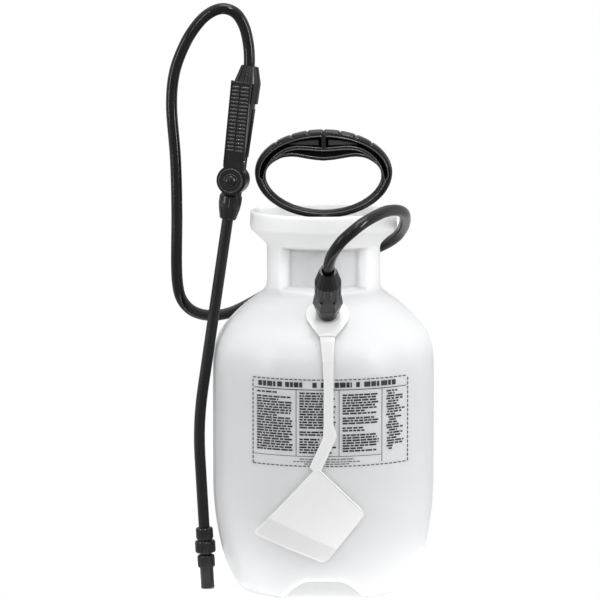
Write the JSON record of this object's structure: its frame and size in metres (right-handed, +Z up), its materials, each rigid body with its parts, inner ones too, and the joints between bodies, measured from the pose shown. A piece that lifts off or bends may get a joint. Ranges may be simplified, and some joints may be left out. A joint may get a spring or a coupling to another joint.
{
  "type": "pump sprayer",
  "caption": "Hand-pumped garden sprayer: round tank with funnel top, ring-handled plunger pump, hose, squeeze-lever shut-off, bent wand and twist nozzle.",
  "frame": {"origin": "on the tank's axis, in the plane its four feet stand on", "axes": "+Z up along the tank's axis, -Y to the front where the hose leaves, -X to the side the wand stands on"},
  "size_m": [0.2218, 0.2294, 0.4871],
  "materials": {
    "hdpe": "translucent natural, satin",
    "black": "fine textured",
    "black_gloss": "smooth moulded",
    "rubber": "matt",
    "tube": "translucent",
    "inner": "moulded",
    "steel": "bright",
    "brass": "turned",
    "card": "coated card"
  },
  "bodies": {
    "tank": {"tank_shell": "hdpe", "outlet_body": "black", "outlet_gasket": "rubber", "outlet_lock_nut": "black", "outlet_hose_nut": "black", "dip_tube": "tube", "intake_filter": "tube", "hose": "rubber", "grip_hose_nut": "black", "shutoff_body": "black", "valve_bonnet": "black", "valve_spring": "steel", "lever_pin": "steel", "wand_nut": "black", "wand_o_ring": "rubber", "tag_strap": "card", "hang_tag": "card"},
    "lever": {"lever": "black"},
    "stem": {"valve_stem": "inner", "stem_seal": "rubber"},
    "wand": {"wand_tube": "black_gloss", "nozzle_nut": "black", "nozzle_body": "black", "swirl_core": "brass", "nozzle_o_ring": "rubber"},
    "tip": {"nozzle_tip": "black"},
    "gasket": {"pump_gasket": "rubber"},
    "pump": {"pump_cap": "black", "pump_barrel": "tube", "rod_guide": "inner", "foot_valve_seat": "inner"},
    "flap": {"check_valve": "rubber"},
    "cup": {"piston_cup": "rubber"},
    "plunger": {"piston_head": "inner", "piston_retainer": "inner", "plunger_rod": "inner", "pump_handle": "black_gloss"}
  },
  "joints": [
    {"name": "squeeze", "type": "hinge", "parent": "tank", "child": "lever", "pos_m": [-0.07348, -0.02968, 0.35805], "axis": [-0.9771, 0.1564, 0.1443], "range_deg": [0, 6.5], "stiffness_Nm_per_rad": 1.2, "springref_deg": -14.32, "deforming": ["valve_spring"]},
    {"name": "stem_travel", "type": "slide", "parent": "tank", "child": "stem", "axis": [-0.1548, -0.9877, 0.0229], "range_m": [0, 0.0024]},
    {"name": "wand_swivel", "type": "hinge", "parent": "tank", "child": "wand", "pos_m": [-0.0743, -0.02, 0.342], "axis": [0.1461, 0, 0.9893], "range_deg": [-180, 180]},
    {"name": "tip_twist", "type": "hinge", "parent": "wand", "child": "tip", "pos_m": [-0.09933, -0.02, 0.05145], "axis": [0.0558, 0, -0.9984], "range_deg": [-180, 100]},
    {"name": "pump_lift", "type": "slide", "parent": "tank", "child": "gasket", "axis": [0, 0, 1], "range_m": [0, 0.23]},
    {"name": "pump_turn", "type": "hinge", "parent": "gasket", "child": "pump", "pos_m": [0, 0, 0.29], "axis": [0, 0, 1], "range_deg": [0, 540]},
    {"name": "foot_valve", "type": "slide", "parent": "pump", "child": "flap", "axis": [0, 0, -1], "range_m": [0, 0.0015], "stiffness_N_per_m": 150, "springref_m": -0.002},
    {"name": "pump_stroke", "type": "slide", "parent": "pump", "child": "cup", "axis": [0, 0, 1], "range_m": [0, 0.15]},
    {"name": "handle_turn", "type": "hinge", "parent": "cup", "child": "plunger", "pos_m": [0, 0, 0.3], "axis": [0, 0, 1], "range_deg": [0, 90]}
  ],
  "couplings": [
    {"joint": "stem_travel", "follows": "squeeze", "m_per_rad": 0.0205}
  ]
}
